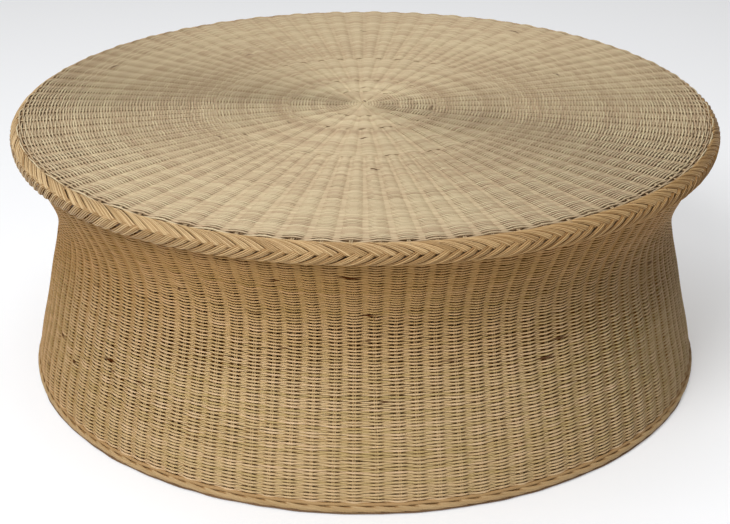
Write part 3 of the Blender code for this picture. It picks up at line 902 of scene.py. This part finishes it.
def rim_point(psi, theta, h):
    """Point on the rolled rim: psi 90 degrees on top, 0 outside, -90 underneath."""
    ar = RIM_HR - 0.0025 + h
    az = RIM_HZ - 0.0025 + h
    c = np.cos(psi)
    wide = np.where(psi < 0.0, np.sign(c) * np.abs(c) ** 0.6, c)
    R = RC + ar * wide
    Z = RIM_Z + az * np.sin(psi)
    # underneath, the plait hangs a little fuller at the sides
    Z = Z - np.clip(-np.sin(psi), 0.0, 1.0) * (0.0012 + 0.0066 * np.sin(theta) ** 2 * (1.3 - 0.3 * np.sin(theta)))
    P = np.stack([R * np.sin(theta), -R * np.cos(theta), Z], -1)
    Nn = np.stack([np.cos(psi) * np.sin(theta), -np.cos(psi) * np.cos(theta), np.sin(psi)], -1)
    return P, Nn


def rim_aged(th):
    """Painted shade: the rim is tinted browner on the right and at the back, away from the key lamp, and palest on the
    lit left.
    """
    return 0.38 + 0.36 * np.sin(th + 0.35) + 0.45 * np.clip(-np.cos(th) - 0.3, 0.0, 1.0)


# degrees turned down the rim for each pitch travelled along it: the turns lie almost
# along the edge where they leave the weave and swing down towards the middle line
_fp = np.linspace(-30.0, 90.0, 481)
_fr = np.interp(_fp, [-12.0, 8.0, 16.0, 25.0, 45.0, 60.0, 68.0, 90.0], [47.0, 46.0, 43.0, 37.0, 27.0, 20.5, 16.0, 11.0])
_ft = np.concatenate([[0.0], np.cumsum(0.25 * 0.5 * (1.0 / _fr[1:] + 1.0 / _fr[:-1]))])


def room(psi):
    """Half the width left to one rod of a turn, measured across it."""
    slope = np.arctan(np.interp(psi, _fp, _fr) * math.radians(RIM_HR - 0.0025) / (pitch_a * RIM_R))
    return np.clip(0.50 * 0.92 * pitch_a * RIM_R / RODS_UP * np.sin(slope), 0.00050, 0.00118)


def fall(psi):
    return np.interp(8.0, _fp, _ft) - np.interp(psi, _fp, _ft)


rng_p = np.random.default_rng(31)
halves = 2
for half in range(halves):
    st = Strands(6)
    for j in range(half * N_PLAIT // halves, (half + 1) * N_PLAIT // halves):
        wob = rng_p.normal(0, 0.05)
        lift = rng_p.normal(0, 0.00022)
        fat = 1.0 + rng_p.normal(0, 0.04)
        ta, tb = rng_p.normal(0.2, 0.6), rng_p.normal(-0.2, 0.6)
        for m in range(RODS_UP):
            q = (m + 0.5) / RODS_UP * 2.0 - 1.0
            # over the top: comes out from under the weave almost along the edge, then turns down
            end = PSI_A + 0.5 * (q + 1.0) * (PSI_B - PSI_A) + (2.6 if m == 0 else 0.0)
            psi = np.concatenate([np.linspace(78.0, 42.0, 12, endpoint=False), np.linspace(42.0, end - 9.0, 11)])
            th = (j + wob + 0.5 * q * 0.92 + fall(psi)) * pitch_a
            sink = 72.0 - 15.0 * np.sin(th) ** 2
            bulge = 0.00130 * (1.0 - q * q) + 0.00040 * q
            h = (bulge * ease((80.0 - psi) / 30.0) + lift - 0.0026 * ease((psi - sink) / 9.0)
                 - 0.0030 * ease((end + 3.0 - psi) / 9.0) + rng_p.normal(0, 0.00013))
            P, Nn = rim_point(np.radians(psi), th, h)
            # painted shade: each upper rod goes dark where it runs in under the next turn and where it sinks at the
            # inner edge, the first rod a little more in its crease
            dp = 0.85 * ease((end + 1.5 - psi) / 7.0) + 0.6 * ease((psi - sink - 2.0) / 8.0) + (0.16 if m == 0 else 0.0)
            st.add(P, Nn, ROD_UP * fat, room(psi) * fat, False, ta + rng_p.normal(0.0, 1.3) + (0.9 if m % 2 else -0.7), 0.0, np.clip(dp, 0.0, 1.0),
                   along0=rng_p.uniform(0, 9), aged=rim_aged(th), side=0.75, edge_shade_gain=1.0)
        for m in range(RODS_DN):
            q = (m + 0.5) / RODS_DN * 2.0 - 1.0
            # underneath: rises from the lower edge and goes in under the next turn
            end = PSI_B - 0.5 * (q + 1.0) * (PSI_B - PSI_A) - (3.2 if m == RODS_DN - 1 else 0.0)
            psi = np.linspace(-98.0, end + 9.0, 15)
            th = (j + 0.5 + wob + 0.5 * q * 0.90 + 0.0247 * (psi - 8.0)) * pitch_a
            bulge = 0.00175 * (1.0 - q * q) - 0.00030 * q
            h = (bulge * ease((psi + 98.0) / 24.0) - 0.0014 * ease((-72.0 - psi) / 22.0)
                 - 0.0030 * ease((psi - end + 3.0) / 9.0) + rng_p.normal(0, 0.00013))
            P, Nn = rim_point(np.radians(psi), th, h)
            # painted shade: each lower rod goes dark where it runs in under the next turn and on the underside, the
            # last rod a little more in its crease; their tint is raised by 0.15 as painted shade underneath
            dp = 0.85 * ease((psi - end + 1.5) / 7.0) + 0.5 * ease((-62.0 - psi) / 20.0) + (0.14 if m == RODS_DN - 1 else 0.0)
            st.add(P, Nn, ROD_DN * fat, ROD_DN * fat, False, tb + rng_p.normal(0.0, 1.3) + (0.9 if m % 2 else -0.7), 0.0, np.clip(dp, 0.0, 1.0),
                   along0=rng_p.uniform(0, 9), aged=0.15 + rim_aged(th), side=0.75, edge_shade_gain=1.0)
    st.build("rim_plait_half_%d" % (half + 1), mat_rim, ("rim_plait",))

# ------------------------------------------------------------------ foot border
st = Strands(8)
rng_f = np.random.default_rng(41)
R_FOOT = foot_hi[0] / FLAT
for j in range(3):
    x = np.linspace(0, N_SIDE, N_SIDE * 6, endpoint=False)
    u = np.mod((x + j) / 3.0, 1.0)
    outw = np.clip(np.sin(math.pi * np.clip(u / 0.74, 0, 1)) * 1.5, 0, 1)
    back = np.clip(np.sin(math.pi * np.clip((u - 0.74) / 0.26, 0, 1)) * 1.3, 0, 1)
    off = 0.0016 * outw - 0.0028 * back
    rise = np.where(u < 0.74, u / 0.74, 1.0 - (u - 0.74) / 0.26)
    th = TAU * x / N_SIDE + side_t(TAU * x / N_SIDE, 0.0) + PH_SIDE
    z = 0.0068 + 0.0044 * (0.5 - rise) + 0.00035 * np.sin(th * 23.0 + 1.0)
    R = R_FOOT - 0.0042 + off
    P = np.stack([R * np.sin(th), -R * np.cos(th), z], -1)
    Nn = np.stack([np.sin(th), -np.cos(th), np.zeros_like(th)], -1)
    # painted shade: the wale is coloured dark where it turns back in behind the stakes, and a little as it rises
    st.add(P, Nn, 0.0021, 0.0026, True, 0.5 * np.sin(th * 3 + j * 2) + rng_f.normal(0, 0.7), 0.0,
           0.5 * back + 0.12 * rise, along0=j * 5.0)
# a finer rod laid on the border fills the step up to the first row of the wall
x = np.linspace(0, N_SIDE, N_SIDE * 4, endpoint=False)
th = TAU * x / N_SIDE
_fw = wavy(rng_f, 10, 8, 60)
R = R_FOOT - 0.0062 + 0.0003 * _fw(th, 0.6)
P = np.stack([R * np.sin(th), -R * np.cos(th), 0.0120 + 0.0003 * _fw(th, 0.9)], -1)
Nn = np.stack([np.sin(th), -np.cos(th), np.zeros_like(th)], -1)
# painted shade: the finer rod carries an even 0.30 of the dark recess colour, for the step it fills
st.add(P, Nn, 0.0020, 0.0026, True, 0.2, 0.0, 0.30, along0=20.0)
st.build("foot_wale", mat_foot, ("foot_border",))
# a near-black rod along the floor under the foot: painted contact shadow, a dark strand where there is only shadow
st = Strands(8)
R = R_FOOT - 0.0034 + 0.0006 * _fw(th, 0.0)
z = 0.0018 + 0.0005 * np.abs(_fw(th, 0.3))
P = np.stack([R * np.sin(th), -R * np.cos(th), z], -1)
st.add(P, Nn, 0.0022, 0.0017, True, 0.0, 0.0)
st.build("foot_contact_shadow_rod", mat_contact_shadow, ("foot_border",))

# ------------------------------------------------------------------ inner frame
for name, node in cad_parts.items():
    if name in ("top_weave", "rim_plait", "side_weave", "foot_border"):
        continue
    me = node.data
    mat = mat_pole
    if name.startswith("screw_"):
        mat = mat_metal
    elif name.startswith("dowel_"):
        mat = mat_beech
    elif name == "top_board":
        mat = mat_ply
    if len(node.material_slots):
        for sl in node.material_slots:
            sl.material = mat
    else:
        me.materials.append(mat)

# ------------------------------------------------------------------ floor, light, camera
bpy.ops.mesh.primitive_plane_add(size=44.0, location=(0, 0, -0.0004))
floor = bpy.context.object
floor.name = "floor"
fm = bpy.data.materials.new("floor_white")
fm.use_nodes = True
fb = fm.node_tree.nodes["Principled BSDF"]
fb.inputs["Base Color"].default_value = (0.60, 0.61, 0.63, 1)
fb.inputs["Emission Color"].default_value = (1.0, 1.0, 1.0, 1)
fco = fm.node_tree.nodes.new("ShaderNodeTexCoord")
fln = fm.node_tree.nodes.new("ShaderNodeVectorMath")
fln.operation = "LENGTH"
fmr = fm.node_tree.nodes.new("ShaderNodeMapRange")
fmr.inputs["From Min"].default_value = 0.480
fmr.inputs["From Max"].default_value = 0.491
fmr.inputs["To Min"].default_value = 0.0
fmr.inputs["To Max"].default_value = 0.38
fm.node_tree.links.new(fco.outputs["Object"], fln.inputs[0])
fm.node_tree.links.new(fln.outputs["Value"], fmr.inputs["Value"])
fm.node_tree.links.new(fmr.outputs[0], fb.inputs["Emission Strength"])
# painted shade: under the drum the floor is coloured brown, for the brown half light that comes through the cane
fmx = fm.node_tree.nodes.new("ShaderNodeMix")
fmx.data_type = "RGBA"
fst = fm.node_tree.nodes.new("ShaderNodeMapRange")
fst.inputs["From Min"].default_value = 0.470
fst.inputs["From Max"].default_value = 0.480
fm.node_tree.links.new(fln.outputs["Value"], fst.inputs["Value"])
fm.node_tree.links.new(fst.outputs[0], fmx.inputs[0])
fmx.inputs[6].default_value = (0.42, 0.17, 0.03, 1)
fmx.inputs[7].default_value = (0.60, 0.61, 0.63, 1)
fm.node_tree.links.new(fmx.outputs[2], fb.inputs["Base Color"])
fb.inputs["Roughness"].default_value = 0.9
floor.data.materials.append(fm)


def area(name, loc, target, size, power, color=(1, 1, 1)):
    data = bpy.data.lights.new(name, "AREA")
    data.shape = "SQUARE"
    data.size = size
    data.energy = power
    data.color = color
    ob = bpy.data.objects.new(name, data)
    ob.location = loc
    ob.rotation_euler = (Vector(target) - Vector(loc)).to_track_quat("-Z", "Y").to_euler()
    bpy.context.scene.collection.objects.link(ob)
    return ob


area("key", (-1.25, -2.50, 3.05), (0, 0, 0.2), 1.6, 136.0)
area("top", (-0.2, 0.4, 3.2), (0, 0, 0.3), 2.2, 43.0)
world = bpy.data.worlds.new("studio")
world.use_nodes = True
back = world.node_tree.nodes["Background"]
back.inputs[0].default_value = (1, 1, 1, 1)
# the studio is paler low down, behind the table, than overhead
wco = world.node_tree.nodes.new("ShaderNodeTexCoord")
wse = world.node_tree.nodes.new("ShaderNodeSeparateXYZ")
wup = world.node_tree.nodes.new("ShaderNodeMapRange")
wup.interpolation_type = "SMOOTHSTEP"
wup.inputs["From Min"].default_value = 0.0
wup.inputs["From Max"].default_value = 0.30
wup.inputs["To Min"].default_value = 0.62
wup.inputs["To Max"].default_value = 0.13
world.node_tree.links.new(wco.outputs["Generated"], wse.inputs[0])
world.node_tree.links.new(wse.outputs["Z"], wup.inputs["Value"])
world.node_tree.links.new(wup.outputs[0], back.inputs[1])
bpy.context.scene.world = world
bpy.context.scene.view_settings.view_transform = "Standard"

cam_data = bpy.data.cameras.new("camera")
cam_data.sensor_width = 36.0
cam_data.lens = 1567.55 * 36.0 / 730.0
cam = bpy.data.objects.new("camera", cam_data)
cam.location = (0.0, -2.1352, 1.1027)
cam.rotation_euler = (math.radians(90.0 - 24.657), 0.0, 0.0)
bpy.context.scene.collection.objects.link(cam)
bpy.context.scene.camera = cam
